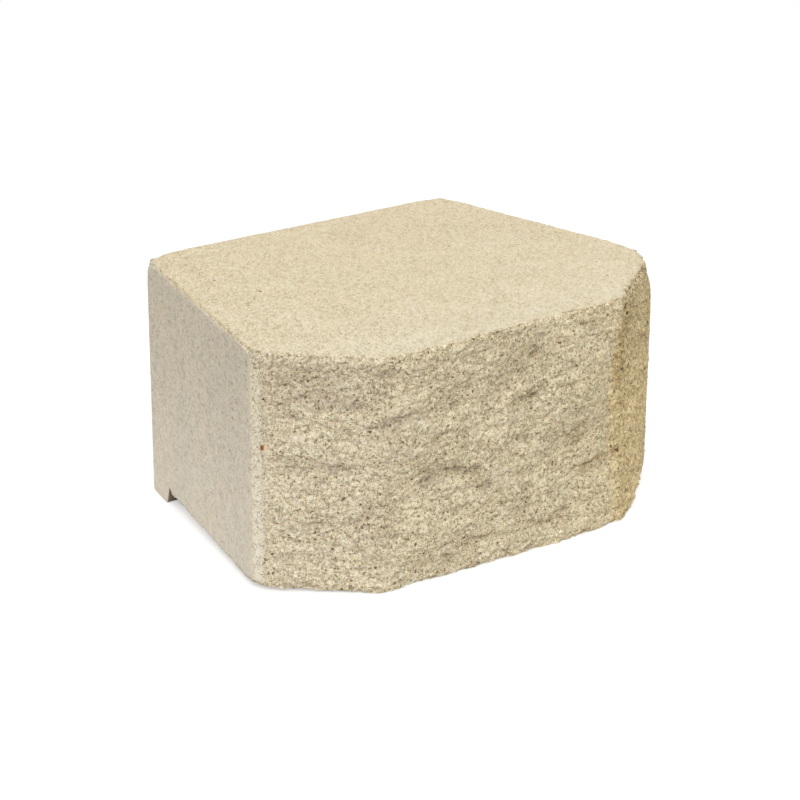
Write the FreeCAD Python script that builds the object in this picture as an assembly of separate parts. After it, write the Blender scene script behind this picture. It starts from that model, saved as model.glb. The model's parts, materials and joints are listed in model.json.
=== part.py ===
"""A garden retaining wall block, pressed from dry concrete in one piece.

It is wider at the front than at the back, so that blocks can turn a curve. Its front is a rough break of
three facets, and a lip under the back hooks behind the course below. It is modelled as it is laid, with its
bed level and the middle facet on Y = 0, and then set down as it stands by itself on a level floor.
"""

import FreeCAD
import Part

import math
import os
import random

from FreeCAD import Vector

# Mould outline, seen from above
front_width = 300.0
back_width = 226.0
depth = 228.0
corner_setback = 53.0
corner_strip_angle = 60.0
back_corner_radius = 7.0

# Height from bed to top
height = 143.0

# Broken face: how far the middle facet reaches left and right of the centre, and how much the side facets turn
facet_reach_left = 97.0
facet_reach_right = 79.0
facet_turn_left = 42.5
facet_turn_right = 39.5

# Roughness of the break: a sum of waves that are longer across the face than up it
longest_wave = 150.0
shortest_wave = 26.0
wave_count = 30
wave_steepness = 0.0033
wave_flatness = 1.7
break_seed = 29

# Ripples over the waves, where the break runs round clusters of grains
longest_ripple = 25.0
shortest_ripple = 14.0
ripple_count = 14
ripple_height = 0.17

# How far apart the surface of the break is set out, along it and up it
pitch_along = 6.0
pitch_up = 4.0

# The break is calm where it starts from the strip at the left corner and where it ends at the right side
calm_reach = 26.0

# The left corner of the middle facet is worn round at the top and stays crisp at the bottom
corner_wear = 3.2
corner_wear_reach = 16.0
corner_wear_drop = 62.0

# Chip out of the top of the right front corner
chip_depth = 10.0
chip_reach = 14.0
chip_drop = 14.0

# The break swells forward under the top edge, on both sides of the worn corner, and is undercut below that
brow_swell = 2.6
brow_reach = 30.0
brow_drop = 17.0
undercut_depth = 1.9
undercut_reach = 42.0
undercut_half_height = 9.0

# The right corner of the middle facet falls back at half height, and the foot beyond it stands out
corner_hollow_depth = 3.2
corner_hollow_reach = 11.0
corner_hollow_half_height = 45.0
foot_swell = 3.4
foot_distance = 30.0
foot_reach = 30.0
foot_half_height = 24.0

# Two long hollows that rise to the right across the middle facet: places from the centre and from the bed
upper_hollow_right = 17.0
upper_hollow_up = 125.0
upper_hollow_depth = 2.8
upper_hollow_length = 16.0
upper_hollow_half_width = 8.0
upper_hollow_rise = 42.0
lower_hollow_right = 34.0
lower_hollow_up = 61.0
lower_hollow_depth = 2.6
lower_hollow_length = 27.0
lower_hollow_half_width = 9.5
lower_hollow_rise = 26.0

# Ledges where the break stepped back: place along it from the centre, place up from the bed, depth, half
# length, half width and rise. Each is steep under its upper edge and runs out gently below.
ledges = [
    (-130.0, 129.0, 1.2, 26.0, 7.0, 0.0),
    (-127.0, 111.0, 1.0, 18.0, 5.5, 5.0),
    (-84.0, 104.0, 1.0, 22.0, 5.5, 12.0),
    (-140.0, 75.0, 1.2, 20.0, 4.5, 10.0),
    (-120.0, 43.0, 1.0, 15.0, 4.5, 12.0),
    (-50.0, 65.0, 1.9, 24.0, 5.0, -4.0),
    (-48.0, 45.0, 0.9, 12.0, 4.5, -10.0),
    (10.0, 98.0, 1.0, 13.0, 4.5, -4.0),
    (10.0, 76.0, 1.2, 11.0, 4.5, -12.0),
    (50.0, 46.0, 1.5, 15.0, 5.0, 3.0),
]
ledge_upper_share = 0.7
ledge_lower_share = 1.5

# Lip under the back, and the relief groove in front of it
lip_drop = 9.5
lip_thickness = 28.3
lip_draft = 19.0
lip_toe_radius = 2.0
lip_heel_radius = 3.0
groove_depth = 3.6
groove_front_run = 6.2

# How far tools run past what they cut
overrun = 20.0

# How closely the block is measured when it is set down
fine_chord = 0.05


def mould_outline():
    """Plan of the blank: tapered sides, then a strip at each front corner that runs on into the waste."""
    strip_run = (corner_setback + overrun) / math.tan(math.radians(corner_strip_angle))
    right = [
        Vector(back_width / 2, depth, 0),
        Vector(front_width / 2, corner_setback, 0),
        Vector(front_width / 2 - strip_run, -overrun, 0),
    ]
    left = [Vector(-p.x, p.y, p.z) for p in reversed(right)]
    radii = [back_corner_radius, 0, 0, 0, 0, back_corner_radius]
    return rounded_face(right + left, radii)


def lip_toe():
    """Where the front of the lip meets its underside, in the side view."""
    return Vector(0, depth - lip_thickness, -lip_drop)


def mould_section():
    """Side view of the blank: level bed, relief groove, lip, upright back, level top."""
    slope = math.tan(math.radians(lip_draft))
    groove_apex = lip_toe() + Vector(0, -(lip_drop + groove_depth) * slope, lip_drop + groove_depth)
    corners = [
        Vector(0, -overrun, 0),
        groove_apex + Vector(0, -groove_front_run, -groove_depth),
        groove_apex,
        lip_toe(),
        Vector(0, depth, -lip_drop),
        Vector(0, depth, height),
        Vector(0, -overrun, height),
    ]
    radii = [0, 0, 0, lip_toe_radius, lip_heel_radius, 0, 0]
    return rounded_face(corners, radii)


def rounded_face(corners, radii):
    """A flat face with straight sides, and with an arc of the given radius at each corner that has one."""
    edges = []
    arcs = [corner_arc(corners, i, radii[i]) for i in range(len(corners))]
    for here, ahead in zip(arcs, arcs[1:] + arcs[:1]):
        if len(here) == 3:
            edges.append(Part.Arc(*here).toShape())
        edges.append(Part.makeLine(here[-1], ahead[0]))
    return Part.Face(Part.Wire(edges))


def corner_arc(corners, i, radius):
    """The start, middle and end of the arc at a corner, or the bare corner where the radius is nil."""
    corner = corners[i]
    if radius == 0:
        return [corner]
    back = (corners[i - 1] - corner).normalize()
    ahead = (corners[(i + 1) % len(corners)] - corner).normalize()
    half_angle = back.getAngle(ahead) / 2
    inward = (back + ahead).normalize()
    to_ends = radius / math.tan(half_angle)
    to_middle = radius / math.sin(half_angle) - radius
    return [corner + back * to_ends, corner + inward * to_middle, corner + ahead * to_ends]


def moulded_blank():
    """The pressed block before it is broken: what its plan and its side view have in common."""
    plan = mould_outline()
    plan.translate(Vector(0, 0, -lip_drop - overrun))
    upright = plan.extrude(Vector(0, 0, height + lip_drop + 2 * overrun))
    section = mould_section()
    section.translate(Vector(-front_width / 2 - overrun, 0, 0))
    crosswise = section.extrude(Vector(front_width + 2 * overrun, 0, 0))
    return upright.common(crosswise)


def side_facet_length(middle_reach, turn):
    """From a corner of the middle facet, along the side facet, to where the mould is widest."""
    return (front_width / 2 - middle_reach) / math.cos(math.radians(turn))


def break_hollows():
    """Where the break runs deep: along it from the centre, up, depth, two half lengths and the rise."""
    left_corner = -facet_reach_left
    right_end = facet_reach_right + side_facet_length(facet_reach_right, facet_turn_right)
    brow = height - brow_drop / 3
    return [
        (left_corner, height, corner_wear, corner_wear_reach, corner_wear_drop, 0),
        (right_end, height, chip_depth, chip_reach, chip_drop, 0),
        (left_corner + brow_reach, brow, -brow_swell, brow_reach, brow_drop, 0),
        (left_corner - brow_reach, brow, -brow_swell, brow_reach, brow_drop, 0),
        (left_corner - brow_reach / 2, height - brow_drop, undercut_depth, undercut_reach, undercut_half_height, 0),
        (facet_reach_right, height / 2, corner_hollow_depth, corner_hollow_reach, corner_hollow_half_height, 0),
        (facet_reach_right + foot_distance, 0, -foot_swell, foot_reach, foot_half_height, 0),
        (
            upper_hollow_right,
            upper_hollow_up,
            upper_hollow_depth,
            upper_hollow_length,
            upper_hollow_half_width,
            upper_hollow_rise,
        ),
        (
            lower_hollow_right,
            lower_hollow_up,
            lower_hollow_depth,
            lower_hollow_length,
            lower_hollow_half_width,
            lower_hollow_rise,
        ),
    ]


def hollow_depth(hollow, along, up):
    centre_along, centre_up, deepest, half_length, half_width, rise = hollow
    turn = math.radians(rise)
    da = along - centre_along
    du = up - centre_up
    lengthwise = (da * math.cos(turn) + du * math.sin(turn)) / half_length
    crosswise = (du * math.cos(turn) - da * math.sin(turn)) / half_width
    return deepest * math.exp(-(lengthwise**2) - crosswise**2)


def ledge_depth(ledge, along, up):
    foot = ledge[1]
    share = ledge_upper_share if up > foot else ledge_lower_share
    return hollow_depth(ledge, along, foot + (up - foot) / share)


def spread(longest, shortest, count):
    """Lengths from the longest to the shortest, each the same share of the one before."""
    return [longest * (shortest / longest) ** (step / (count - 1)) for step in range(count)]


def break_waves():
    """Plane waves that add up to a rough surface: the long ones are high, and low ripples run over them."""
    dice = random.Random(break_seed)
    sizes = [(length, wave_steepness * length) for length in spread(longest_wave, shortest_wave, wave_count)]
    sizes += [(length, ripple_height) for length in spread(longest_ripple, shortest_ripple, ripple_count)]
    waves = []
    for length, highest in sizes:
        heading = dice.uniform(-math.pi, math.pi)
        per_along = math.cos(heading) / wave_flatness / length
        per_up = math.sin(heading) / length
        waves.append((highest, per_along, per_up, dice.random()))
    return waves


def wave_height(wave, along, up):
    highest, per_along, per_up, phase = wave
    return highest * math.sin(2 * math.pi * (per_along * along + per_up * up + phase))


def roughness_share(along):
    """How much of the waves is there: none at the two ends of the break, and all of them between."""
    from_strip = along + facet_reach_left + side_facet_length(facet_reach_left, facet_turn_left)
    from_right = facet_reach_right + side_facet_length(facet_reach_right, facet_turn_right) - along
    return 1 - math.exp(-((from_strip / calm_reach) ** 2)) - math.exp(-((from_right / calm_reach) ** 2))


def break_forward(waves, hollows, along, up):
    rise = sum(wave_height(w, along, up) for w in waves) * roughness_share(along)
    drop = sum(hollow_depth(h, along, up) for h in hollows) + sum(ledge_depth(e, along, up) for e in ledges)
    return rise - drop


def break_plan():
    """Stations along the break, seen from above: distance from the centre plane, point and normal."""
    left_turn = math.radians(facet_turn_left)
    right_turn = math.radians(facet_turn_right)
    side_reach = front_width / 2 + overrun
    lengths = [
        (side_reach - facet_reach_left) / math.cos(left_turn),
        facet_reach_left + facet_reach_right,
        (side_reach - facet_reach_right) / math.cos(right_turn),
    ]
    headings = [-left_turn, 0.0, right_turn]
    point = Vector(-side_reach, (side_reach - facet_reach_left) * math.tan(left_turn), 0)
    travelled = -lengths[0] - facet_reach_left
    stations = []
    for length, heading in zip(lengths, headings):
        steps = max(2, round(length / pitch_along))
        ahead = Vector(math.cos(heading), math.sin(heading), 0)
        normal = Vector(ahead.y, -ahead.x, 0)
        for i in range(steps):
            run = length * i / steps
            stations.append((travelled + run, point + ahead * run, normal))
        point = point + ahead * length
        travelled += length
    stations.append((travelled, point, normal))
    return stations


def broken_surface():
    """The break as one smooth surface on a net of poles, with room past every edge of the block."""
    waves = break_waves()
    hollows = break_hollows()
    rows = round((height + 2 * overrun) / pitch_up)
    poles = []
    for along, point, normal in break_plan():
        column = []
        for row in range(rows + 1):
            up = -overrun + (height + 2 * overrun) * row / rows
            forward = break_forward(waves, hollows, along, up)
            column.append(point + normal * forward + Vector(0, 0, up))
        poles.append(column)
    surface = Part.BSplineSurface()
    surface.buildFromPolesMultsKnots(
        poles,
        end_multiplicities(len(poles)),
        end_multiplicities(len(poles[0])),
        even_knots(len(poles)),
        even_knots(len(poles[0])),
        False,
        False,
        3,
        3,
    )
    return surface


def even_knots(pole_count):
    return [float(k) for k in range(pole_count - 2)]


def end_multiplicities(pole_count):
    return [4] + [1] * (pole_count - 4) + [4]


def waste():
    """The half of the casting that is split off: all that lies in front of the break."""
    return broken_surface().toShape().extrude(Vector(0, -depth, 0))


def standing_tilt(front_edge_y):
    """The lean, in degrees, of a block that stands on its front bottom edge and on the round of its lip's toe."""
    half_angle = math.radians(90 - lip_draft) / 2
    to_centre = lip_toe().y + lip_toe_radius * math.tan(half_angle) - front_edge_y
    centre_drop = lip_drop - lip_toe_radius
    down_to_centre = math.atan2(centre_drop, to_centre)
    down_to_round = math.asin(lip_toe_radius / math.hypot(centre_drop, to_centre))
    return math.degrees(down_to_centre + down_to_round)


def set_down(block):
    """Leans the block as it stands unheld. The origin is on the floor, halfway back on its centre plane."""
    on_bed = [p for p in block.tessellate(fine_chord)[0] if abs(p.z) < fine_chord]
    standing = block.copy()
    standing.rotate(Vector(0, 0, 0), Vector(1, 0, 0), standing_tilt(min(p.y for p in on_bed)))
    points = standing.tessellate(fine_chord)[0]
    front = min(p.y for p in points)
    back = max(p.y for p in points)
    floor = min(p.z for p in points)
    standing.translate(Vector(0, -(front + back) / 2, -floor))
    return standing


def wall_block():
    block = moulded_blank().cut(waste())
    return set_down(block.Solids[0])


os.makedirs("parts", exist_ok=True)
wall_block().exportStep("parts/wall_block.step")
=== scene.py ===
import json
import math

import bpy
import numpy as np
from mathutils import Matrix, Vector, kdtree, noise


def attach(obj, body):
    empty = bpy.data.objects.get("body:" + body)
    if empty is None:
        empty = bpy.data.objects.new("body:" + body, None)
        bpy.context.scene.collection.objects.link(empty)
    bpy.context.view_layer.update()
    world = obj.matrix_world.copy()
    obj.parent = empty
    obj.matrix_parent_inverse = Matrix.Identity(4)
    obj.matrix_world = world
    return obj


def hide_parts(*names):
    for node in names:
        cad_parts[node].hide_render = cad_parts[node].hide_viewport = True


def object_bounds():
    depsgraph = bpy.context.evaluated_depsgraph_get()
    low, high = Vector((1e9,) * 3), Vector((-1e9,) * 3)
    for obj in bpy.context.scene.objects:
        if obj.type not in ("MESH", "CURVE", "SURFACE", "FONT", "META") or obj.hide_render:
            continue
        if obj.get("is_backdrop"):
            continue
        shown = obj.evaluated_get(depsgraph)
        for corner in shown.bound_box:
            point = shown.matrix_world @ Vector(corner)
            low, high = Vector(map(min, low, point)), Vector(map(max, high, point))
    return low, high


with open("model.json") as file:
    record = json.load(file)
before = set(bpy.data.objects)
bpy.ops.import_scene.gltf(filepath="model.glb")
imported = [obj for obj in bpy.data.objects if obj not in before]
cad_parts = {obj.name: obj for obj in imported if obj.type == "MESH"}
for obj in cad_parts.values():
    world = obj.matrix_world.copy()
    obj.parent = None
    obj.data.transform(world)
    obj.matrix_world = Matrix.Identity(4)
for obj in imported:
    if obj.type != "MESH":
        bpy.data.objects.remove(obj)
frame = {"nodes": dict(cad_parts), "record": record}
cad_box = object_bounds()


# The retaining wall block: one casting of dry sandy concrete, pressed in a mould and then split at the front.
# Its top, sides and back are moulded and fairly smooth, the front is a coarse break, and the arrises crumble.

# The mould, in mm: x across, y back from the middle facet, z up from the bed. The taper is that of its sides.
front_width = 300.0
back_width = 226.0
depth = 228.0
height = 143.0
corner_setback = 53.0
strip_end = 46.0
strip_angle = math.radians(60.0)
lip_from = 185.0
taper = math.atan2((front_width - back_width) / 2, depth - corner_setback)

# The break: where its middle facet ends, and how far its outer facets turn back
facet_left = -97.0
facet_right = 79.0
turn_left = math.radians(42.5)
turn_right = math.radians(39.5)

# The crease at its right corner leans in towards the top and out towards the bed: place and leans in mm, and
# between which heights it leans
crease_place = 81.0
crease_lean_up = 8.0
crease_lean_down = 3.0
crease_upper = (138.0, 98.0)
crease_lower = (75.0, 10.0)

# What counts as the break: it ends this far back, and lies this far inside the mould's own faces, in mm
break_ends = 80.0
clear_of_mould = 0.7
front_ends = 90.0
far_off = 50.0

# Broad shallow hollows of the break, read along it and up from the bed, in mm:
# along, up, half length, half height, depth, rise in degrees
broad_hollows = [
    (-136, 123, 34, 8, 0.7, 0),
    (-96, 131, 11, 6, 0.3, 0),
    (-75, 130, 9, 6, 0.2, 0),
    (-126, 113, 20, 6, 0.6, 0),
    (-8, 118, 13, 6, 0.8, 32),
    (10, 124, 12, 5, 0.4, 20),
    (48, 64, 12, 8, 1.0, 42),
    (-138, 74, 24, 5, 0.4, 4),
    (-65, 68, 13, 6, 0.3, -30),
    (20, 19, 30, 7, 0.6, 0),
    (-22, 51, 16, 6, 0.6, -10),
    (-25, 20, 14, 5, 0.5, 0),
    (-140, 85, 22, 5, -0.6, 0),
    (-22, 77, 20, 4, -0.6, 0),
]

# Ledges of the break, in the same order. A ledge of negative depth stands out.
ledges = [
    (-93, 135, 5, 3, 0.5, -10),
    (-150, 131, 12, 3, 0.4, 0),
    (-116, 118, 9, 3, 1.0, -5),
    (-80, 107, 22, 4, 1.2, 8),
    (-47, 107, 2.2, 2.5, 1.5, 0),
    (8, 124, 8, 2.5, 0.7, 12),
    (20, 124, 12, 2.4, 0.7, 0),
    (-40, 119, 8, 3, 0.8, 35),
    (-100, 106, 8, 2.4, 0.8, 18),
    (9, 100, 9, 2.6, 1.7, 2),
    (-12, 111, 6, 2.5, 0.8, 0),
    (-122, 79, 7, 3, 1.5, 8),
    (-148, 77, 9, 2.2, 0.8, -4),
    (-76, 81, 6, 2, 0.9, -35),
    (-65, 65, 6, 3.6, 1.5, 4),
    (-44, 67, 15, 2.6, 2.0, -13),
    (-33, 63, 4, 3, 1.4, -10),
    (-25, 80, 6, 1.6, 0.8, 0),
    (11, 75, 13, 2.2, 1.8, -11),
    (34, 77, 9, 1.6, 0.7, -14),
    (40, 66, 9, 4, 0.8, 48),
    (-60, 89, 6, 2.4, 0.7, 29),
    (24, 59, 5, 3, 1.5, -20),
    (28, 51, 3, 4, 1.2, -50),
    (-29, 53, 9, 1.8, 1.6, -6),
    (-45, 43, 8, 2.4, 1.5, 0),
    (-30, 38, 6, 2, 0.8, 0),
    (8, 46, 7, 2.2, 1.0, 10),
    (45, 45, 6, 2.4, 1.9, -25),
    (57, 46, 7, 3.6, 2.3, 18),
    (66, 47, 6, 4, 1.2, 0),
    (78, 49, 5, 4, 1.5, 0),
    (-1, 54, 6, 1.6, 0.8, -5),
    (-106, 51, 8, 1.8, 0.8, 15),
    (-132, 44, 8, 2, 0.7, 10),
    (-97, 24, 5, 2.2, 0.9, -20),
    (-88, 36, 6, 2.4, 0.7, 0),
    (-53, 15, 6, 2.4, 1.0, -8),
    (34, 23, 5, 2, 1.0, 10),
    (20, 18, 7, 2.2, 0.7, 0),
    (-32, 21, 14, 2.4, 0.9, -6),
    (-52, 23, 9, 2.2, 0.8, 24),
    (-103, 56, 9, 1.8, 0.8, 11),
    (-116, 47, 9, 6, 0.5, 18),
    (-150, 22, 12, 2, 0.6, 0),
    (-140, 100, 22, 3, -0.9, 0),
    (-68, 121, 8, 5, -0.8, 0),
    (10, 68, 12, 4, -0.9, 0),
    (-50, 102, 8, 4, -0.7, 0),
    (25, 97, 12, 4, -0.6, 0),
    (-59, 71, 4, 2, -0.9, -12),
    (-7, 108, 7, 2, -0.8, -13),
    (-76, 103, 7, 4, -0.6, -55),
    (-36, 111, 8, 3.5, -1.0, 22),
    (-67, 45, 9, 4, -0.6, -21),
    (-131, 110, 7, 5, -0.6, 0),
    (30, 84, 12, 4, -0.9, 15),
    (19, 44, 9, 3, -0.6, -74),
]

# Places where more has crumbled off the arrises: x, y, z, reach and depth, in mm
crumbled_places = [
    (-147, 49, 143, 10, 1.0),
    (-128, 30, 143, 22, 1.0),
    (144, 74, 143, 12, 2.2),
    (-113, 228, 143, 14, 3.2),
    (113, 228, 143, 11, 1.8),
    (-147, 47, 0, 10, 1.2),
    (-123, 180, 143, 8, 0.8),
    (-139, 100, 143, 10, 0.7),
    (92, 9, 143, 9, 1.5),
    (108, 24, 143, 12, 1.6),
    (126, 42, 143, 9, 1.2),
]

# Odd grains and stains, and, past the right corner of the break from x 79 on, dark spots of painted shade in
# its pits, in mm. On the break: x, z, half width, half height and shade
odd_grains_and_painted_pits = [
    (-146.2, 86.0, 0.8, 2.4, (146, 80, 36)),
    (-145.1, 86.4, 0.6, 1.8, (232, 204, 170)),
    (29.6, 124.4, 1.3, 0.8, (112, 62, 40)),
    (-36.6, 141.8, 1.0, 1.0, (84, 66, 46)),
    (-75.0, 26.0, 1.0, 1.0, (70, 60, 46)),
    (-52.0, 14.0, 0.9, 0.9, (128, 76, 48)),
    (33.0, 15.0, 0.9, 0.7, (190, 124, 62)),
    (82.5, 135.5, 2.0, 2.6, (122, 100, 64)),
    (85.2, 130.0, 2.4, 1.3, (84, 64, 38)),
    (85.6, 123.5, 2.6, 1.3, (78, 60, 36)),
    (134.9, 102.0, 2.6, 2.6, (96, 94, 62)),
    (111.0, 115.0, 1.6, 0.9, (120, 94, 56)),
    (83.0, 112.0, 1.4, 1.2, (104, 82, 50)),
    (102.9, 99.0, 2.6, 1.3, (110, 92, 58)),
    (82.5, 95.5, 2.2, 1.2, (92, 82, 42)),
    (93.7, 94.0, 2.2, 1.2, (140, 100, 66)),
    (107.2, 91.5, 2.6, 1.2, (116, 84, 52)),
    (79.0, 45.0, 1.6, 1.3, (108, 84, 54)),
]

# Dark specks of the top: x, y and reach, in mm
top_specks = [
    (-101, 199, 0.9),
    (-102, 165, 1.0),
    (-91, 132, 1.1),
    (-101, 123, 0.8),
    (52, 138, 0.8),
    (95, 38, 0.8),
]


def block_place():
    """Where the mould's axes lie, from the bed and back faces that the record states."""
    mounts = {m["name"]: m for m in frame["record"]["mounts"]}
    up = -Vector(mounts["bed"]["axis"])
    back = Vector(mounts["back"]["axis"])
    bed_level = up.dot(Vector(mounts["bed"]["pos_m"]))
    back_level = back.dot(Vector(mounts["back"]["pos_m"])) - depth / 1000
    origin = up * bed_level + back * back_level
    turn = Matrix((Vector((1, 0, 0)), back, up)).transposed().to_4x4()
    return Matrix.Translation(origin) @ turn


block_to_row = block_place()


def in_millimetres(mesh):
    co = np.empty(len(mesh.vertices) * 3)
    mesh.vertices.foreach_get("co", co)
    return co.reshape(-1, 3) * 1000


def put_back(mesh, co):
    mesh.vertices.foreach_set("co", (co / 1000).ravel())
    mesh.update()


def baked_mesh(shape):
    """The mesh that the shape's modifiers make. The shape itself goes."""
    bpy.context.collection.objects.link(shape)
    mesh = bpy.data.meshes.new_from_object(shape.evaluated_get(bpy.context.evaluated_depsgraph_get()))
    bpy.data.objects.remove(shape)
    return mesh


def fine_blank(voxel):
    """The CAD block turned level, as an even fine mesh."""
    mesh = frame["nodes"]["wall_block"].data.copy()
    mesh.transform(block_to_row.inverted())
    blank = bpy.data.objects.new("blank", mesh)
    remesh = blank.modifiers.new("even", "REMESH")
    remesh.mode = "VOXEL"
    remesh.voxel_size = voxel
    return baked_mesh(blank)


def smoothstep(low, high, x):
    t = np.clip((x - low) / (high - low), 0, 1)
    return t * t * (3 - 2 * t)


def noise_places(points, size, seed):
    """Where to read noise whose lumps are to have the given size. Each seed reads another part of it."""
    return points / np.array(size) + seed * np.array((17.13, 9.71, 5.37))


def lumps(points, size, seed):
    """Noise from about -1 to 1 at the points, with lumps of the given size along each axis."""
    places = noise_places(points, size, seed)
    return np.array([noise.noise(p, noise_basis="PERLIN_ORIGINAL") for p in places.tolist()])


def own_chance(middles):
    """A number from 0 to 1 for each chip, always the same for the same middle."""
    scattered = np.sin(middles @ (12.9898, 78.233, 37.719)) * 43758.5453
    return scattered - np.floor(scattered)


def chips(points, size, seed):
    """The break as a patchwork of chips that lean back.

    Gives the height of each point, and how shaded it is by a higher chip above it.
    """
    places = noise_places(points, size, seed)
    nearest = [noise.voronoi(p) for p in places.tolist()]
    gap = np.array([distances[1] - distances[0] for distances, middles in nearest])
    own = np.array([middles[0][:] for distances, middles in nearest])
    next_one = np.array([middles[1][:] for distances, middles in nearest])
    rises = [0.9 * (own_chance(middle) - 0.5) - (places[:, 1] - middle[:, 1]) for middle in (own, next_one)]
    rise, rise_beside = rises
    above = smoothstep(0.1, 0.5, next_one[:, 1] - own[:, 1])
    shade = smoothstep(0.34, 0.05, gap) * above * np.clip(rise_beside - rise, 0, 1)
    return rise, shade


def to_nearest_grain(points, size, seed):
    """The distance from each point to the middle of the nearest grain, in grains."""
    places = noise_places(points, size, seed)
    return np.array([noise.voronoi(p)[0][0] for p in places.tolist()])


def mould_distances(co):
    """How far inside each moulded face a point is, in mm: sides, strips, back, top, bed."""
    x, y, z = np.abs(co[:, 0]), co[:, 1], co[:, 2]
    half = front_width / 2
    side = math.cos(taper) * (half - x) + math.sin(taper) * (corner_setback - y)
    strip = math.sin(strip_angle) * (half - x) - math.cos(strip_angle) * (corner_setback - y)
    return side, strip, depth - y, height - z, z


def facet_frame(co):
    """How far along the break each point near the front is, and which way the break faces there."""
    x, y = co[:, 0], co[:, 1]
    on_left = facet_left + (x - facet_left) * math.cos(turn_left) - y * math.sin(turn_left)
    on_right = facet_right + (x - facet_right) * math.cos(turn_right) + y * math.sin(turn_right)
    along = np.where(x < facet_left, on_left, np.where(x > facet_right, on_right, x))
    blend = 9.0
    turn = turn_left * (smoothstep(facet_left - blend, facet_left + blend, along) - 1)
    turn = turn + turn_right * smoothstep(facet_right - blend, facet_right + blend, along)
    facing = np.stack([np.sin(turn), -np.cos(turn), np.zeros(len(co))], -1)
    return along, facing


def hollow_depth(hollows, along, up, above=1.0, below=1.0):
    """How deep the hollows are at each point, in mm. Above and below say how far each runs up and down."""
    depth_here = np.zeros(len(along))
    for centre_along, centre_up, half_length, half_height, deepest, rise in hollows:
        turn = math.radians(rise)
        da = along - centre_along
        du = up - centre_up
        lengthwise = (da * math.cos(turn) + du * math.sin(turn)) / half_length
        crosswise = (du * math.cos(turn) - da * math.sin(turn)) / half_height
        crosswise = crosswise / np.where(crosswise > 0, above, below)
        depth_here += deepest * np.exp(-(lengthwise**2) - crosswise**2)
    return depth_here


def drifted(flat):
    """The flat break with its lines drifting up and down, and a little along, as torn lines do."""
    drift = 7 * lumps(flat, (34, 22, 1), 1)
    drift += 2.4 * lumps(flat, (9, 7, 1), 2)
    drift += 1.3 * lumps(flat, (3, 2.6, 1), 10)
    sway = 4 * lumps(flat, (14, 14, 1), 3)
    sway += 1.3 * lumps(flat, (3, 2.6, 1), 11)
    return flat + np.stack([sway, drift, np.zeros(len(flat))], -1)


def frayed_ledges(flat):
    """How deep the ledges are on the flat break, with frayed edges and uneven depth."""
    lowered = 2.0
    fray_up = lowered + 1.6 * lumps(flat, (8, 5, 1), 12) + 2.4 * lumps(flat, (2.8, 2.3, 1), 10)
    fray_along = 2.5 * lumps(flat, (6, 5, 1), 13)
    along, up = flat[:, 0] + fray_along, flat[:, 1] + fray_up
    uneven = 0.9 + np.clip(1.3 * lumps(flat, (6, 4, 1), 14), -0.4, 0.5) + 0.8 * lumps(flat, (2.6, 2.2, 1), 15)
    steep_above, gentle_below = 0.25, 1.5
    return hollow_depth(ledges, along, up, steep_above, gentle_below) * uneven


def right_crease(near_top, near_bed):
    """How far along the break its right corner runs, from the shares of its two leans."""
    return crease_place - crease_lean_up * near_top + crease_lean_down * near_bed


def break_relief(along, up):
    """Height of the torn surface over the smooth break, in mm, and how shaded each point of it is."""
    flat = np.stack([along, up, np.zeros(len(along))], -1)
    torn = drifted(flat)
    drift = torn - flat
    hollow = hollow_depth(broad_hollows, along + drift[:, 0] * 0.6, up + drift[:, 1] * 0.4)
    hollow += frayed_ledges(flat)
    broad, shade_broad = chips(torn, (15, 6, 9), 5)
    narrow, shade_narrow = chips(torn, (7, 3, 5), 6)
    lump = lumps(torn, (22, 9, 1), 4)
    shade = hollow / 1.9 + np.clip(-0.5 * lump - 0.05, 0, 0.12) + 0.32 * shade_broad + 0.24 * shade_narrow

    # Lumps, hollows and chips first, then the grain, the stones that stand out and the pits
    relief = 0.4 * lump - 0.95 * hollow + 0.55 * broad + 0.38 * narrow
    relief += 0.65 * np.abs(lumps(flat, (3.0, 2.2, 1), 7)) - 0.14
    relief += 0.5 * smoothstep(0.42, 0.18, to_nearest_grain(flat, (3.6, 3.2, 1), 8))
    relief -= 1.1 * smoothstep(0.26, 0.1, to_nearest_grain(flat, (6.5, 5.5, 1), 9))

    # Past the right corner the break is coarser, and the corner itself is worn round
    past = along - right_crease(smoothstep(*crease_upper, up), smoothstep(*crease_lower, up))
    relief *= 1 + 0.5 * smoothstep(-2, 8, past)
    relief -= 1.3 * np.exp(-((past / 6) ** 2))
    return relief, np.clip(shade, -0.4, 1)


def distance_to(places, points):
    """How far each point is from the nearest of the places, in mm."""
    tree = kdtree.KDTree(len(places))
    for i, place in enumerate(places.tolist()):
        tree.insert(place, i)
    tree.balance()
    return np.array([tree.find(point)[2] for point in points.tolist()])


def off_the_break(co):
    """How far each point is from the break, in mm: 0 on it, and far off everywhere behind the front."""
    broken = (np.minimum.reduce(mould_distances(co)) > clear_of_mould) & (co[:, 1] < break_ends)
    near = co[:, 1] < front_ends
    to_break = np.full(len(co), far_off)
    to_break[near] = distance_to(co[broken], co[near])
    return to_break


def tear(mesh):
    """Gives the break its torn surface, which stays inside the mould and leaves the strip and side smooth."""
    co = in_millimetres(mesh)
    side, strip = mould_distances(co)[:2]
    along, facing = facet_frame(co)
    to_break = off_the_break(co)
    runs_out, starts_to_fade = 14, 5
    front = np.where(to_break < runs_out)[0]
    side, strip = side[front], strip[front]

    # The left facet ends sharp at the strip, and the right one fades out towards the side
    left = co[front, 0] < 0
    free = np.where(left, smoothstep(0.05, 0.7, np.minimum(side, strip)), smoothstep(0.2, 8, side))
    free *= smoothstep(runs_out, starts_to_fade, to_break[front])
    relief = break_relief(along[front], co[front, 2])[0] * free

    # Nothing is pushed out through a face of the mould
    room = np.where(left, np.minimum(strip / 0.95, side / 0.5), side / 0.5)
    moved = np.zeros(len(co))
    moved[front] = np.minimum(relief, np.maximum(room - 0.1, 0))
    put_back(mesh, co + facing * moved[:, None])
    return to_break


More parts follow.
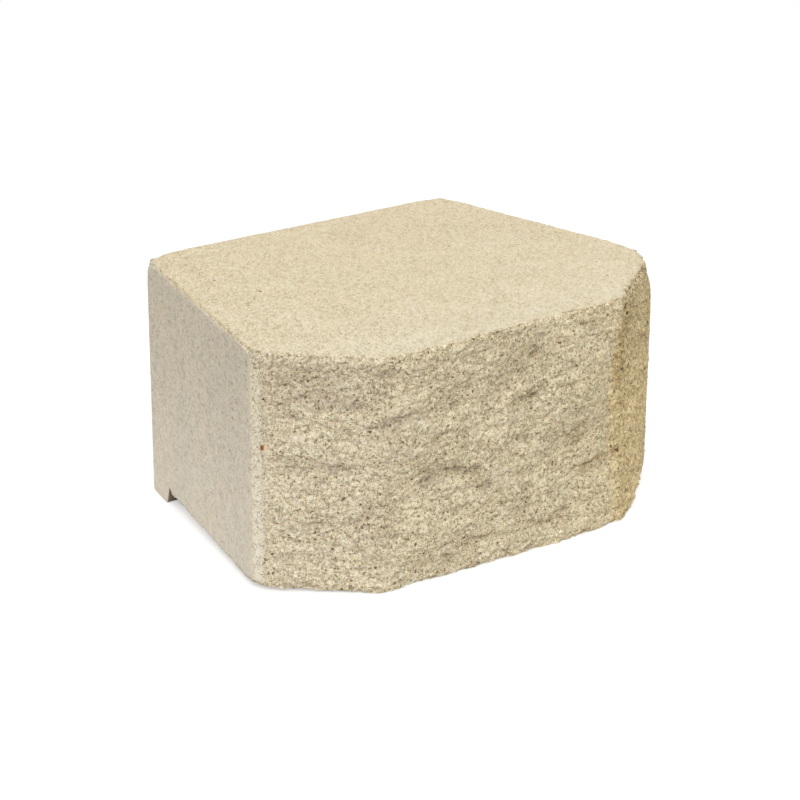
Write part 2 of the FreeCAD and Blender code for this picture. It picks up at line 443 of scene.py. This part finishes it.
def crumble(mesh, to_break):
    """Wears the arrises round and takes crumbs off them, more where two broken or pressed edges meet."""
    co = in_millimetres(mesh)
    normals = np.empty(len(co) * 3)
    mesh.vertices.foreach_get("normal", normals)
    normals = normals.reshape(-1, 3)
    side, strip, back, top, bed = mould_distances(co)
    bed = np.where(co[:, 1] < lip_from, bed, far_off)
    upright = np.minimum(side, strip)

    # An arris is where the second nearest face is close by, and the lip keeps its edges
    to_arris = np.sort(np.abs(np.stack([upright, back, top, bed, to_break])), axis=0)[1]
    arris_reach, corner_reach, lip_top = 9, 5, -0.5
    beside_arris = (to_arris < arris_reach) | (np.maximum(side, strip) < corner_reach)
    close = np.where(beside_arris & (co[:, 2] > lip_top))[0]
    points = co[close]
    at_top = smoothstep(6, 1, top[close])
    at_break = smoothstep(5, 1, to_break[close])

    # How worn each arris is, in mm, and how unevenly the crumbs have come off it
    wear = 0.4 + 0.5 * smoothstep(6, 1, upright[close]) * at_top
    wear += 0.75 * at_break * at_top
    wear += 0.3 * at_break * smoothstep(6, 1, bed[close])
    wear += 0.35 * smoothstep(5, 1, bed[close])
    corner = np.exp(-(((side[close] + strip[close]) / 2.2) ** 2))
    for x, y, z, reach, extra in crumbled_places:
        wear += extra * np.exp(-(((points - (x, y, z)) ** 2).sum(1)) / reach**2)
    bite = 0.45 + 1.2 * np.clip(lumps(points, (5.5,) * 3, 20) + 0.15, 0, 1)
    bite += 0.9 * np.clip(lumps(points, (2.3,) * 3, 21) + 0.1, 0, 1)
    bite += 1.3 * np.clip(lumps(points, (13,) * 3, 22) + 0.05, 0, 1)
    crumbs = wear * bite * np.exp(-((to_arris[close] / (1.1 * wear + 0.6)) ** 2)) + 0.35 * corner
    co[close] -= normals[close] * crumbs[:, None]
    put_back(mesh, co)


def thinned(mesh, triangles):
    """The same surface with fewer triangles where it is flat."""
    mesh.calc_loop_triangles()
    thick = bpy.data.objects.new("thick", mesh)
    decimate = thick.modifiers.new("thin", "DECIMATE")
    decimate.ratio = min(1, triangles / len(mesh.loop_triangles))
    return baked_mesh(thick)


def mark_break_and_painted_shade(mesh):
    """Keeps on the mesh how far off the break each point is, for the tones of crumbs. It also keeps how much
    painted shade the break takes in its hollows and under its ledges and chips, with values below 0 for
    painted highlight where a ledge stands out.
    """
    co = in_millimetres(mesh)
    mesh.attributes.new("to_break", "FLOAT", "POINT").data.foreach_set("value", off_the_break(co))
    shade = np.zeros(len(co))
    facets_end = 75
    front = co[:, 1] < facets_end
    along, facing = facet_frame(co[front])
    shade[front] = break_relief(along, co[front, 2])[1]
    mesh.attributes.new("hollow", "FLOAT", "POINT").data.foreach_set("value", shade)


def make_block():
    """The visible block: the CAD block as a fine mesh, torn at the break and worn at its arrises."""
    voxel, quick_voxel = 0.001, 0.0016
    most_triangles = 194000
    mesh = fine_blank(voxel)
    to_break = tear(mesh)
    crumble(mesh, to_break)
    mesh = thinned(mesh, most_triangles)
    mark_break_and_painted_shade(mesh)
    mesh.transform(block_to_row)
    mesh.shade_smooth()
    mesh.name = "concrete block"
    block = bpy.data.objects.new("concrete_block", mesh)
    bpy.context.collection.objects.link(block)
    return block


class Value:
    """A shader socket. Sums on it add their Math nodes, and add() puts in a node of any other kind."""

    def __init__(self, socket):
        self.socket = socket

    @staticmethod
    def add(tree, kind, settings=(), inputs=(), output=0):
        node = tree.nodes.new(kind)
        for name, setting in dict(settings).items():
            if name == "stops":
                ramp = node.color_ramp
                while len(ramp.elements) < len(setting):
                    ramp.elements.new(0.5)
                for element, (position, colour) in zip(ramp.elements, setting):
                    element.position = position
                    element.color = colour
            else:
                setattr(node, name, setting)
        for name, value in dict(inputs).items():
            if isinstance(value, Value):
                tree.links.new(value.socket, node.inputs[name])
            else:
                node.inputs[name].default_value = value
        return Value(node.outputs[output]) if node.outputs else None

    def math(self, operation, *others):
        inputs = {i: v for i, v in enumerate((self, *others))}
        return Value.add(self.socket.id_data, "ShaderNodeMath", {"operation": operation}, inputs)

    def reflected(self, operation, other):
        inputs = {0: other, 1: self}
        return Value.add(self.socket.id_data, "ShaderNodeMath", {"operation": operation}, inputs)

    def __add__(self, other):
        return self.math("ADD", other)

    __radd__ = __add__

    def __sub__(self, other):
        return self.math("SUBTRACT", other)

    def __rsub__(self, other):
        return self.reflected("SUBTRACT", other)

    def __mul__(self, other):
        return self.math("MULTIPLY", other)

    __rmul__ = __mul__

    def __truediv__(self, other):
        return self.math("DIVIDE", other)

    def __gt__(self, other):
        return self.math("GREATER_THAN", other)

    def __lt__(self, other):
        return self.math("LESS_THAN", other)

    def __abs__(self):
        return self.math("ABSOLUTE")

    def largest(self, other):
        return self.math("MAXIMUM", other)

    def ramp(self, low, high):
        """0 below low, 1 above high, and smooth between them. Low may be the larger."""
        smooth = {"interpolation_type": "SMOOTHSTEP"}
        inputs = {"Value": self, "From Min": low, "From Max": high}
        return Value.add(self.socket.id_data, "ShaderNodeMapRange", smooth, inputs)


def concrete():
    """Sandy cream concrete: cement paste on the moulded faces, bare sand and grains where it is broken."""
    material = bpy.data.materials.new("sandy cream concrete")
    material.use_nodes = True
    tree = material.node_tree
    tree.nodes.clear()

    def add(kind, settings=(), inputs=(), output=0):
        return Value.add(tree, kind, settings, inputs, output)

    def mix(share, first, second, blend="MIX"):
        inputs = {0: share, 6: first, 7: second}
        return add("ShaderNodeMix", {"data_type": "RGBA", "blend_type": blend}, inputs, 2)

    def vector(operation, first, second):
        return add("ShaderNodeVectorMath", {"operation": operation}, {0: first, 1: second})

    def along_axis(place, axis):
        return add("ShaderNodeVectorMath", {"operation": "DOT_PRODUCT"}, {0: place, 1: tuple(axis)}, 1)

    def tinted(share, shade, by):
        return mix(share, shade, (*by, 1), "MULTIPLY")

    def colour(red, green, blue):
        """A colour as a screen shows it, each part from 0 to 255."""
        parts = [part / 255 for part in (red, green, blue)]
        return (*[((part + 0.055) / 1.055) ** 2.4 for part in parts], 1)

    def tones(value, *stops):
        ramp = {"stops": [(at, colour(*shade)) for at, shade in stops]}
        return add("ShaderNodeValToRGB", ramp, {"Fac": value})

    def speckle(place, scale, detail=2.0):
        """Noise about 0, with lumps of 1/scale metres."""
        inputs = {"Vector": place, "Scale": scale, "Detail": detail, "Roughness": 0.6}
        return add("ShaderNodeTexNoise", {}, inputs) - 0.5

    def grains(place, scale, feature="F1"):
        """How far each place is from the middle or the edge of its cell. Cells are 1/scale metres."""
        inputs = {"Vector": place, "Scale": scale}
        return add("ShaderNodeTexVoronoi", {"feature": feature}, inputs, "Distance")

    def own_chance_of(cells, name):
        """A number from 0 to 1 for each cell. Red, Green and Blue give three different ones."""
        return add("ShaderNodeSeparateColor", {}, {"Color": Value(cells.socket.node.outputs["Color"])}, name)

    where = add("ShaderNodeTexCoord", output="Object")
    to_block = block_to_row.inverted()
    x, y, z = (along_axis(where, row[:3]) * 1000 + row[3] * 1000 for row in to_block[:3])

    # Sizes of grain, from fine to broad
    fine = speckle(where, 1300.0, 1.0)
    sand = speckle(where, 640.0, 2.0)
    soft = speckle(where, 230.0, 3.0)
    broad = speckle(where, 24.0, 3.0)
    patch = speckle(vector("MULTIPLY", where, (0.5, 0.5, 1.0)), 75.0, 2.0)
    painted_thin_seams = speckle(vector("MULTIPLY", where, (0.33, 0.33, 1.0)), 950.0, 1.5)

    # The skin's grains are drawn out a little towards the back of the mould
    lengthwise = along_axis(where, (0.59, 0.81, 0.0)) * 0.45
    crosswise = along_axis(where, (0.81, -0.59, 0.0))
    drawn = add("ShaderNodeCombineXYZ", {}, {0: crosswise, 1: lengthwise, 2: z / 1000})
    fine_drawn = speckle(drawn, 1300.0, 1.0)
    sand_drawn = speckle(drawn, 640.0, 2.0)
    soft_drawn = speckle(drawn, 230.0, 3.0)
    streak = speckle(vector("MULTIPLY", where, (1.0, 1.0, 0.16)), 90.0, 3.0)

    # The moulded skin is whole where nothing has come off a moulded face
    half = front_width / 2
    side = (half - abs(x)) * math.cos(taper) + (corner_setback - y) * math.sin(taper)
    strip = (half - abs(x)) * math.sin(strip_angle) - (corner_setback - y) * math.cos(strip_angle)
    top = height - z
    under = abs(z) * (y < lip_from) + (y > lip_from) * 9
    ragged = sand * 0.9 + soft * 0.6
    on_side = (side + ragged).ramp(0.6, 0.3)
    strip_edge = (y + soft * 5 + sand * 8 + fine * 5).ramp(strip_end - 1, strip_end + 1.2)
    on_strip = (strip + ragged).ramp(0.6, 0.3) * strip_edge
    on_top = (top + ragged).ramp(0.55, 0.25)
    on_bed = (under + abs(ragged) * 2).ramp(0.35, 0.1)
    rear = y.ramp(lip_from + 1, lip_from + 5)
    moulded = on_side.largest(on_strip).largest(on_top).largest(on_bed).largest(rear)
    upright = on_side.largest(on_strip).largest(rear) * (top + ragged * 1.6).ramp(1.0, 1.8)

    # Broken concrete: pale sand and grains, with painted shade in its pits, in the open seams between them
    # and in thin level seams
    sway = add("ShaderNodeTexNoise", {}, {"Vector": where, "Scale": 900.0}, 1)
    swayed = vector("ADD", where, vector("MULTIPLY", sway, (0.0012,) * 3))
    grain = grains(swayed, 500.0)
    # Painted shade in the seams between grains
    painted_seam_shade = grains(swayed, 500.0, "DISTANCE_TO_EDGE").ramp(0.13, 0.0)
    painted_seam_shade = painted_seam_shade * (soft + sand * 0.5).ramp(-0.06, 0.1)
    pit_cell = grains(swayed, 270.0)
    pit = pit_cell.ramp(0.27, 0.12) * (own_chance_of(pit_cell, "Red") > 0.45)
    grain_tone = own_chance_of(grain, "Red") - 0.5
    bare = 0.62 + fine * 1.3 + sand * 1.3 + grain_tone * 0.2 - painted_seam_shade * 0.2 - pit * 0.36
    # Thin level lines of painted shade
    bare = bare + soft * 0.25 + patch * 0.35 - painted_thin_seams.ramp(-0.03, -0.2) * 0.22
    broken = tones(
        bare,
        (0.0, (92, 76, 54)),
        (0.22, (156, 138, 106)),
        (0.45, (206, 190, 155)),
        (0.62, (226, 212, 178)),
        (0.82, (240, 228, 197)),
        (1.0, (248, 240, 217)),
    )
    broken = mix((own_chance_of(grain, "Green") > 0.86) * 0.4, broken, colour(158, 146, 126))
    broken = mix((own_chance_of(grain, "Green") < 0.06) * 0.25, broken, colour(208, 178, 130))
    # Painted light: the break is paler and a little cooler towards the bed, where light off the floor falls
    # on it
    broken = mix(z.ramp(-10, 150), tinted(1.0, broken, (1.035, 1.045, 1.065)), broken)
    # Painted shade in the break's hollows and under its ledges and chips, greyer to the left and browner to
    # the right, and painted highlight on ledges that stand out
    hollow = add("ShaderNodeAttribute", {"attribute_name": "hollow"}, {}, "Fac")
    painted_hollow_shade = mix(x.ramp(-90, 50), (0.6, 0.56, 0.565, 1), (0.61, 0.565, 0.5, 1))
    broken = mix(hollow, broken, painted_hollow_shade, "MULTIPLY")
    broken = tinted(hollow.ramp(0, -0.4) * 0.5, broken, (1.1, 1.11, 1.13))

    # Past the right corner of the middle facet: an ochre tone, partly stain and partly painted shade where
    # the facet turns from the light; painted light further round the facet; painted shade darkest along the
    # crease itself and in holes; and streaks of stain
    past = x + soft * 13 + sand * 6 - right_crease(z.ramp(*crease_upper), z.ramp(*crease_lower))
    in_front = y.ramp(75, 62)
    high = z.ramp(70, 112)
    # Ochre tone, partly stain and partly painted shade where the facet turns from the light
    broken = tinted(past.ramp(-8, 5) * in_front * z.ramp(150, 128) * 0.55, broken, (0.99, 0.9, 0.65))
    # Painted light further round the facet, below the top of the crease
    broken = tinted(past.ramp(4, 18) * in_front * z.ramp(120, 85), broken, (1.09, 1.09, 1.08))
    # Painted shade along the crease
    painted_crease_shade = past.ramp(-5, 2.5) * past.ramp(13, 5) * ((streak + soft).ramp(-0.15, 0.15) * 0.6 + 0.3)
    painted_crease_shade = painted_crease_shade * (high * 0.75 + 0.25)
    broken = tinted(painted_crease_shade * in_front, broken, (0.82, 0.76, 0.64))
    streaks = (streak + soft * 0.5).ramp(0.02, 0.2) * past.ramp(0, 6)
    broken = tinted(streaks * in_front * 0.6, broken, (0.86, 0.83, 0.75))
    # Painted shade in holes past the crease
    painted_hole_shade = pit_cell.ramp(0.42, 0.22) * (own_chance_of(pit_cell, "Blue") > 0.55)
    painted_hole_shade = painted_hole_shade * past.ramp(-1, 3) * past.ramp(26, 12)
    broken = mix(painted_hole_shade * in_front * (high * 0.55 + 0.15), broken, colour(92, 72, 46))
    # The break is warmer towards the right and cooler towards the left
    broken = tinted(x.ramp(20, 75), broken, (1.0, 0.982, 0.94))
    broken = tinted(x.ramp(-60, -130), broken, (0.985, 0.99, 1.035))

    # Painted light: the break under the top arris of the middle facet is made paler
    painted_light_under_arris = z.ramp(116, 134) * x.ramp(-105, -85) * past.ramp(0, -10)
    broken = tinted(painted_light_under_arris, broken, (1.07, 1.07, 1.07))

    # Moulded top: sandy paste
    sandy = (fine_drawn * 1.05 + sand_drawn * 1.15 + soft_drawn * 0.4) * (x.ramp(-20, -100) * 0.25 + 1)
    paste = tones(
        0.5 + sandy + patch * 0.25,
        (0.0, (176, 158, 124)),
        (0.3, (209, 194, 161)),
        (0.5, (223, 210, 180)),
        (0.7, (231, 219, 190)),
        (1.0, (243, 234, 212)),
    )
    paste = tinted(broad.ramp(-0.15, 0.2) * 0.4, paste, (0.97, 0.955, 0.935))
    # Painted shade and light: the top is darker and warmer towards the back, and paler and cooler towards the
    # front
    paste = tinted((y + broad * 120).ramp(40, 200), paste, (0.975, 0.96, 0.945))
    paste = tinted((y - broad * 60).ramp(60, 5) * 0.8, paste, (1.02, 1.04, 1.075))
    paste = tinted((soft_drawn + patch).ramp(0.02, 0.2) * 0.25, paste, (1.0, 0.965, 0.91))

    # Moulded uprights: greyer paste with fine pores, cooler towards the front. The pores hold painted shade,
    # and painted light off the floor makes the paste paler towards the bed and darker and warmer higher up
    film = tones(
        0.5 + (fine_drawn + sand_drawn * 1.15) * (0.7 + z.ramp(8, 75) * 0.3) + soft_drawn * 0.72,
        (0.0, (172, 160, 139)),
        (0.3, (207, 196, 174)),
        (0.5, (220, 210, 189)),
        (0.75, (229, 221, 202)),
        (1.0, (238, 231, 214)),
    )
    film = tinted((broad + streak * 0.5).ramp(-0.05, 0.15) * 0.5, film, (0.93, 0.945, 0.965))
    film = tinted((0 - broad + patch * 0.5).ramp(0.0, 0.15) * 0.5, film, (1.01, 0.985, 0.96))
    film = tinted((y + broad * 50).ramp(150, 60) * z.ramp(0, 45), film, (0.968, 0.972, 0.983))
    # Painted shade in the fine pores
    pore_cell = grains(drawn, 300.0)
    painted_pore_shade = pore_cell.ramp(0.34, 0.16) * (own_chance_of(pore_cell, "Green") > 0.72)
    film = mix(painted_pore_shade * (0.18 + z.ramp(5, 80) * 0.25), film, colour(140, 126, 104))
    # Painted light off the floor: paler and cooler near the bed, darker and warmer higher up and further back
    up_from_painted_floor_light = (z + y * 0.25 + broad * 60).ramp(20, 175)
    film_in_painted_floor_light = tinted(1.0, film, (1.12, 1.12, 1.15))
    film_in_painted_shade = tinted(1.0, film, (0.975, 0.955, 0.94))
    film = mix(up_from_painted_floor_light, film_in_painted_floor_light, film_in_painted_shade)

    # Crumbs and pits along the arrises of the break, and other arrises worn to pale paste
    to_break = add("ShaderNodeAttribute", {"attribute_name": "to_break"}, {}, "Fac")
    fringe = (to_break + soft * 7 + sand * 4).ramp(3.2, 0.6) * moulded
    crumbs = mix(0.45, broken, mix(upright, paste, film))
    away = to_break.ramp(7, 13) * (z > 100)
    worn = mix(away * 0.8, broken, tinted(1.0, paste, (0.97, 0.955, 0.93)))
    base = mix(moulded, worn, mix(upright, paste, film))
    base = mix(fringe, base, crumbs)

    # The strip at the left corner: the creamy tone of the top, more open, with painted shade in its pits
    strip_share = on_strip * (side - strip).ramp(-0.6, 1.2)
    strip_paste = tinted(1.0, paste, (1.02, 1.045, 1.09))
    strip_paste = mix(z.ramp(90, 20) * 0.7, strip_paste, tinted(1.0, film, (1.07, 1.08, 1.1)))
    base = mix(strip_share * 0.7, base, strip_paste)
    # Painted shade in the open pits of the strip
    painted_open_pit_shade = (sand + fine * 0.8 + soft * 0.7 + z.ramp(110, 143) * 0.12).ramp(0.1, 0.2)
    base = mix(strip_share * painted_open_pit_shade * 0.7, base, colour(120, 102, 76))

    # Painted shade, dark brown, in the groove in front of the lip
    painted_groove_shade = y.ramp(lip_from, lip_from + 5) * y.ramp(207, 204) * z.ramp(4.5, 2)
    painted_groove_shade = painted_groove_shade * (side + ragged).ramp(0.4, 1.0) * (1 - (z < -9.2))
    base = mix(painted_groove_shade * 0.85, base, colour(118, 100, 76))

    # Odd dark and rusty grains, and painted shade in the pits past the right corner of the break
    seen_in_front = add("ShaderNodeCombineXYZ", {}, {0: x + sand * 1.3, 1: 0.0, 2: z + (fine + sand) * 2.0})
    for at_x, at_z, half_width, half_height, shade in odd_grains_and_painted_pits:
        off = vector("SUBTRACT", seen_in_front, (at_x, 0.0, at_z))
        off = vector("DIVIDE", off, (half_width, 1.0, half_height))
        share = add("ShaderNodeVectorMath", {"operation": "LENGTH"}, {0: off}, 1).ramp(1.0, 0.5)
        base = mix(share * (y < 60) * 0.97, base, colour(*shade))
    longer = 0.6
    lengthways = (y + fine * 1.5) * longer
    seen_from_above = add("ShaderNodeCombineXYZ", {}, {0: x + sand * 1.2, 1: lengthways, 2: 0.0})
    for at_x, at_y, reach in top_specks:
        places = {0: seen_from_above, 1: (at_x, at_y * longer, 0.0)}
        off = add("ShaderNodeVectorMath", {"operation": "DISTANCE"}, places, 1)
        base = mix(off.ramp(reach * 1.2, reach * 0.4) * on_top * 0.85, base, colour(128, 106, 74))

    # Sand of slightly different colours all through
    own_hues = add("ShaderNodeTexNoise", {}, {"Vector": where, "Scale": 190.0, "Detail": 3.0}, 1)
    base = vector("MULTIPLY", base, vector("ADD", vector("MULTIPLY", own_hues, (0.09,) * 3), (0.955,) * 3))

    # Relief finer than the mesh's own
    rough = fine * 1.2 + sand * 1.2 - pit * 0.75
    smooth = (fine_drawn + sand_drawn) * 0.4 + soft_drawn * 0.3
    relief = rough * (1 - moulded) + smooth * moulded
    bump = add("ShaderNodeBump", {}, {"Height": relief, "Strength": 0.5, "Distance": 0.0009})

    finish = {"Base Color": base, "Normal": bump, "Roughness": 0.93, "Specular IOR Level": 0.25}
    shader = add("ShaderNodeBsdfPrincipled", {}, finish)
    add("ShaderNodeOutputMaterial", {}, {"Surface": shader})
    return material


block = make_block()
block.data.materials.clear()
block.data.materials.append(concrete())
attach(block, "root")
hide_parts("wall_block")


# The floor: a plain white sheet of paper-like board, level under the block. It shows white and keeps the
# block's soft shadow.

def seen_or_mirrored(tree):
    """1 for rays from the camera, mirrors and glass, and 0 for those that light the block."""
    kinds = ("Is Camera Ray", "Is Glossy Ray", "Is Transmission Ray")
    seen, mirrored, through_glass = (Value.add(tree, "ShaderNodeLightPath", output=kind) for kind in kinds)
    return seen.largest(mirrored).largest(through_glass)


def white_floor():
    material = bpy.data.materials.new("white floor")
    material.use_nodes = True
    tree = material.node_tree
    tree.nodes.clear()
    paper = Value.add(tree, "ShaderNodeBsdfDiffuse", {}, {"Color": (0.7, 0.7, 0.7, 1)})
    lift = Value.add(tree, "ShaderNodeEmission", {}, {"Strength": seen_or_mirrored(tree) * 0.45})
    both = Value.add(tree, "ShaderNodeAddShader", {}, {0: paper, 1: lift})
    Value.add(tree, "ShaderNodeOutputMaterial", {}, {"Surface": both})
    return material


bpy.ops.mesh.primitive_circle_add(vertices=96, radius=0.75, fill_type="NGON", location=(0, 0, 0))
floor = bpy.context.object
floor.name = "floor"
floor.data.materials.append(white_floor())
floor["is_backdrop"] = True


# Studio light: one broad soft lamp at the front left, and a white surround that is brighter overhead, both at
# a plain level, at which a colour shows about as it is written.

def soft_lamp(name, azimuth, elevation, strength, spread):
    """A far lamp. Azimuth 0 is straight in front of the block, and negative to its left."""
    a, e = math.radians(azimuth), math.radians(elevation)
    light = bpy.data.lights.new(name, "SUN")
    light.energy = strength
    light.angle = math.radians(spread)
    lamp = bpy.data.objects.new(name, light)
    to_lamp = Vector((math.sin(a) * math.cos(e), -math.cos(a) * math.cos(e), math.sin(e)))
    lamp.rotation_mode = "QUATERNION"
    lamp.rotation_quaternion = to_lamp.to_track_quat("Z", "Y")
    lamp.location = to_lamp * 2
    bpy.context.collection.objects.link(lamp)


soft_lamp("front left lamp", -35, 41, 1.65, 28)


def white_surround():
    world = bpy.data.worlds.new("white surround")
    bpy.context.scene.world = world
    world.use_nodes = True
    tree = world.node_tree
    tree.nodes.clear()
    direction = Value.add(tree, "ShaderNodeTexCoord", output="Generated")
    up = Value.add(tree, "ShaderNodeSeparateXYZ", {}, {0: direction}, "Z")
    overhead = up.ramp(-0.1, 0.9) * 0.43 + 0.34
    seen = seen_or_mirrored(tree)
    strength = overhead * (1 - seen) + seen
    surround = Value.add(tree, "ShaderNodeBackground", {}, {"Color": (1, 1, 1, 1), "Strength": strength})
    Value.add(tree, "ShaderNodeOutputWorld", {}, {"Surface": surround})


white_surround()


# The camera: a long lens, to the left of the front and above, as the photograph was taken. It is placed by
# the block's own axes, as if the block stood level.

def photo_camera():
    azimuth = math.radians(-36.03)
    elevation = math.radians(21.30)
    roll = math.radians(0.32)
    distance = 1.517
    target = Vector((-0.00897, 0.105, 0.06498))
    across = math.cos(elevation)
    away = Vector((math.sin(azimuth) * across, -math.cos(azimuth) * across, math.sin(elevation)))
    right = (-away).cross(Vector((0, 0, 1))).normalized()
    up = right.cross(-away)
    level_right = math.cos(roll) * right + math.sin(roll) * up
    level_up = -math.sin(roll) * right + math.cos(roll) * up
    stance = Matrix((level_right, level_up, away)).transposed().to_4x4()
    data = bpy.data.cameras.new("camera")
    data.sensor_width = 36
    data.lens = 112.5
    camera = bpy.data.objects.new("camera", data)
    camera.matrix_world = block_to_row @ Matrix.Translation(target + away * distance) @ stance
    bpy.context.collection.objects.link(camera)
    return camera


bpy.context.scene.camera = photo_camera()
bpy.context.scene.view_settings.view_transform = "Standard"

boxes = {"cad": cad_box, "visual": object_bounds()}
{name: [list(corner) for corner in box] for name, box in boxes.items()}
